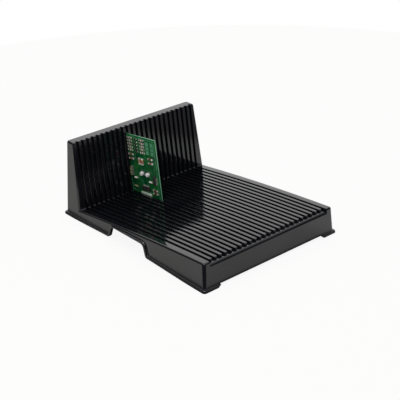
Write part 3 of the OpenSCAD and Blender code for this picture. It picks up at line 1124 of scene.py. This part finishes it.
studio = {
    "floorRadius": 1.1,
    "floorSides": 128,
    "floorColour": (0.75, 0.735, 0.71),
    "floorRoughness": 0.9,
    "floorSpecular": 0.1,
    "floorGlow": 0.9,  # share of plain white that the camera sees on the floor, the rest being lit
    # painted dark that only gloss sees on the paper, round the nearest corner, beside the rim and
    # beyond the paper's reach
    "cardColour": (0.02, 0.02, 0.02),
    "cardSector": (136.0, 303.0),  # painted shade round the nearest corner, seen only in gloss, as bearings from it
    "cardFade": 0.04,
    "whiteReach": (0.225, 0.30),  # where the paper that gloss sees fades into painted dark to the right, in X
    "rightZone": (0.10, 0.16),  # where gloss starts to see that paper as a painted white glow, in X
    "footShade": (0.013, 0.004),  # painted shade on the paper close to the rim, seen only in gloss, by distance from it
    "footDark": 0.8,
    "farDark": 0.86,  # share of painted dark that gloss sees beyond the white paper
    "skyDiffuse": 0.9,
    "skyDark": 0.05,
    "backBearing": 53.0,
    "backSpread": (0.45, 0.8),
    "backHeight": (-0.06, 0.04),
    "backGlow": 1.27,
    "topHeight": (0.58, 0.8),
    "topGlow": 0.75,
    "lampPlace": (-0.35, -0.15, 1.45),
    "lampSize": 0.5,
    "lampPower": 4.5,
}


def fade(tree, value, span, place):
    # soft at both ends of the span
    return ramp(tree, value, *span, place, "SMOOTHSTEP")


def turned(tree, first, second, angle, place):
    # how far a place lies along the first direction, once that is turned towards the second
    x, y = place
    one = calc(tree, "MULTIPLY", first, math.cos(angle), (x - 200, y + 50))
    two = calc(tree, "MULTIPLY", second, math.sin(angle), (x - 200, y - 100))
    return calc(tree, "ADD", one, two, place)


def insideCornerShade(tree, across, along, settings):
    # how far a place is inside the sector of painted shade round the nearest corner of the rack,
    # which only gloss sees
    first, last = (math.radians(bearing) for bearing in settings["cardSector"])
    middle, half = (first + last) / 2, (last - first) / 2
    awayX = calc(tree, "SUBTRACT", across, skirtLow[0], (-1100, 100))
    awayY = calc(tree, "SUBTRACT", along, skirtLow[1], (-1100, -100))
    ahead = turned(tree, awayX, awayY, middle, (-700, 150))
    aside = turned(tree, awayY, awayX, -middle, (-700, -150))
    swing = calc(tree, "ARCTAN2", aside, ahead, (-500, 0))
    swing = calc(tree, "ABSOLUTE", swing, 0, (-350, 0))
    span = (half + settings["cardFade"], half - settings["cardFade"])
    return fade(tree, swing, span, (-200, 0))


def paintedRimShade(tree, across, along, settings):
    # painted shade on the paper close to the rack's rim, which only gloss sees
    gaps = []
    for value, edge, y in ((across, skirtHigh[0], -700), (along, skirtHigh[1], -850)):
        size = calc(tree, "ABSOLUTE", value, 0, (-900, y))
        gaps.append(calc(tree, "SUBTRACT", size, edge, (-700, y)))
    apart = calc(tree, "MAXIMUM", *gaps, (-500, -750))
    shade = fade(tree, apart, settings["footShade"], (-300, -750))
    return calc(tree, "MULTIPLY", shade, settings["footDark"], (-100, -750))


def addFloor(settings):
    mesh = bpy.data.meshes.new("floor")
    shape = bmesh.new()
    bmesh.ops.create_circle(
        shape, cap_ends=True, radius=settings["floorRadius"], segments=settings["floorSides"],
    )
    shape.to_mesh(mesh)
    shape.free()
    material = bpy.data.materials.new("paperFloor")
    material.use_nodes = True
    tree = material.node_tree
    shader = tree.nodes["Principled BSDF"]
    shader.inputs["Roughness"].default_value = settings["floorRoughness"]
    shader.inputs["Specular IOR Level"].default_value = settings["floorSpecular"]
    place = addNode(tree, "ShaderNodeTexCoord", (-1500, 0)).outputs["Object"]
    split = addNode(tree, "ShaderNodeSeparateXYZ", (-1300, 0), Vector=place).outputs
    across, along = split["X"], split["Y"]
    path = addNode(tree, "ShaderNodeLightPath", (-200, 400)).outputs
    # gloss sees painted dark: painted shade round the nearest corner, painted shade beside the rim
    # and painted dark beyond the white paper
    inside = insideCornerShade(tree, across, along, settings)
    # painted shade beside the rim, seen only in gloss
    foot = paintedRimShade(tree, across, along, settings)
    # painted dark beyond the paper's reach, seen only in gloss
    beyond = fade(tree, across, settings["whiteReach"], (-200, -250))
    beyond = calc(tree, "MULTIPLY", beyond, settings["farDark"], (-50, -250))
    dark = calc(tree, "MAXIMUM", inside, foot, (0, -300))
    dark = calc(tree, "MAXIMUM", dark, beyond, (50, -100))
    share = calc(tree, "MULTIPLY", dark, path["Is Glossy Ray"], (150, -50))
    tint = mixColours(tree, share, settings["floorColour"], settings["cardColour"], (300, 0))
    plug(tree, tint, shader.inputs["Base Color"])
    # the camera sees plain white, and gloss on the paper to the right sees a painted white glow
    seen = calc(tree, "MULTIPLY", path["Is Camera Ray"], settings["floorGlow"], (500, 300))
    near = fade(tree, across, settings["rightZone"], (-200, -500))
    rest = calc(tree, "SUBTRACT", 1.0, beyond, (0, -350))
    # painted white glow on the paper to the right, seen only in gloss
    white = calc(tree, "MULTIPLY", near, rest, (150, -400))
    mirrored = calc(tree, "MULTIPLY", white, path["Is Glossy Ray"], (300, -400))
    glow = addNode(tree, "ShaderNodeEmission", (500, -300))
    mix = addNode(tree, "ShaderNodeMixShader", (800, 0))
    parts = (calc(tree, "ADD", seen, mirrored, (650, 250)), shader.outputs[0], glow.outputs[0])
    for value, socket in zip(parts, mix.inputs):
        plug(tree, value, socket)
    plug(tree, mix.outputs[0], tree.nodes["Material Output"].inputs["Surface"])
    mesh.materials.append(material)
    addPiece("floor", mesh)


def addSky(settings):
    # white behind everything; what gloss mirrors is a bright back and ceiling in a dim room
    world = bpy.data.worlds.new("studioSky")
    scene.world = world
    world.use_nodes = True
    tree = world.node_tree
    place = addNode(tree, "ShaderNodeTexCoord", (-1200, 0)).outputs["Generated"]
    split = addNode(tree, "ShaderNodeSeparateXYZ", (-1000, 0), Vector=place).outputs
    path = addNode(tree, "ShaderNodeLightPath", (100, 400)).outputs
    bearing = math.radians(settings["backBearing"])
    facing = turned(tree, split["X"], split["Y"], bearing, (-600, 150))
    back = fade(tree, facing, settings["backSpread"], (-400, 150))
    high = fade(tree, split["Z"], settings["backHeight"], (-400, -100))
    top = fade(tree, split["Z"], settings["topHeight"], (-400, -350))
    behind = calc(tree, "MULTIPLY", back, high, (-200, 100))
    behind = calc(tree, "MULTIPLY", behind, settings["backGlow"], (-50, 100))
    above = calc(tree, "MULTIPLY", top, settings["topGlow"], (-50, -300))
    mirrored = calc(tree, "ADD", behind, above, (100, 0))
    mirrored = calc(tree, "ADD", mirrored, settings["skyDark"], (250, 0))
    level = mixLevels(tree, path["Is Glossy Ray"], settings["skyDiffuse"], mirrored, (450, 100))
    level = mixLevels(tree, path["Is Camera Ray"], level, 1.0, (650, 100))
    shade = tree.nodes["Background"]
    shade.inputs["Color"].default_value = (1, 1, 1, 1)
    plug(tree, level, shade.inputs["Strength"])


def addLamp(settings):
    data = bpy.data.lights.new("softLamp", "AREA")
    data.shape = "DISK"
    data.size = settings["lampSize"]
    data.energy = settings["lampPower"]
    lamp = bpy.data.objects.new("softLamp", data)
    lamp.location = settings["lampPlace"]
    lamp.rotation_euler = Vector(settings["lampPlace"]).to_track_quat("Z", "Y").to_euler()
    scene.collection.objects.link(lamp)


addFloor(studio)
addSky(studio)
addLamp(studio)
scene.view_settings.view_transform = "Standard"
print("studio ready")

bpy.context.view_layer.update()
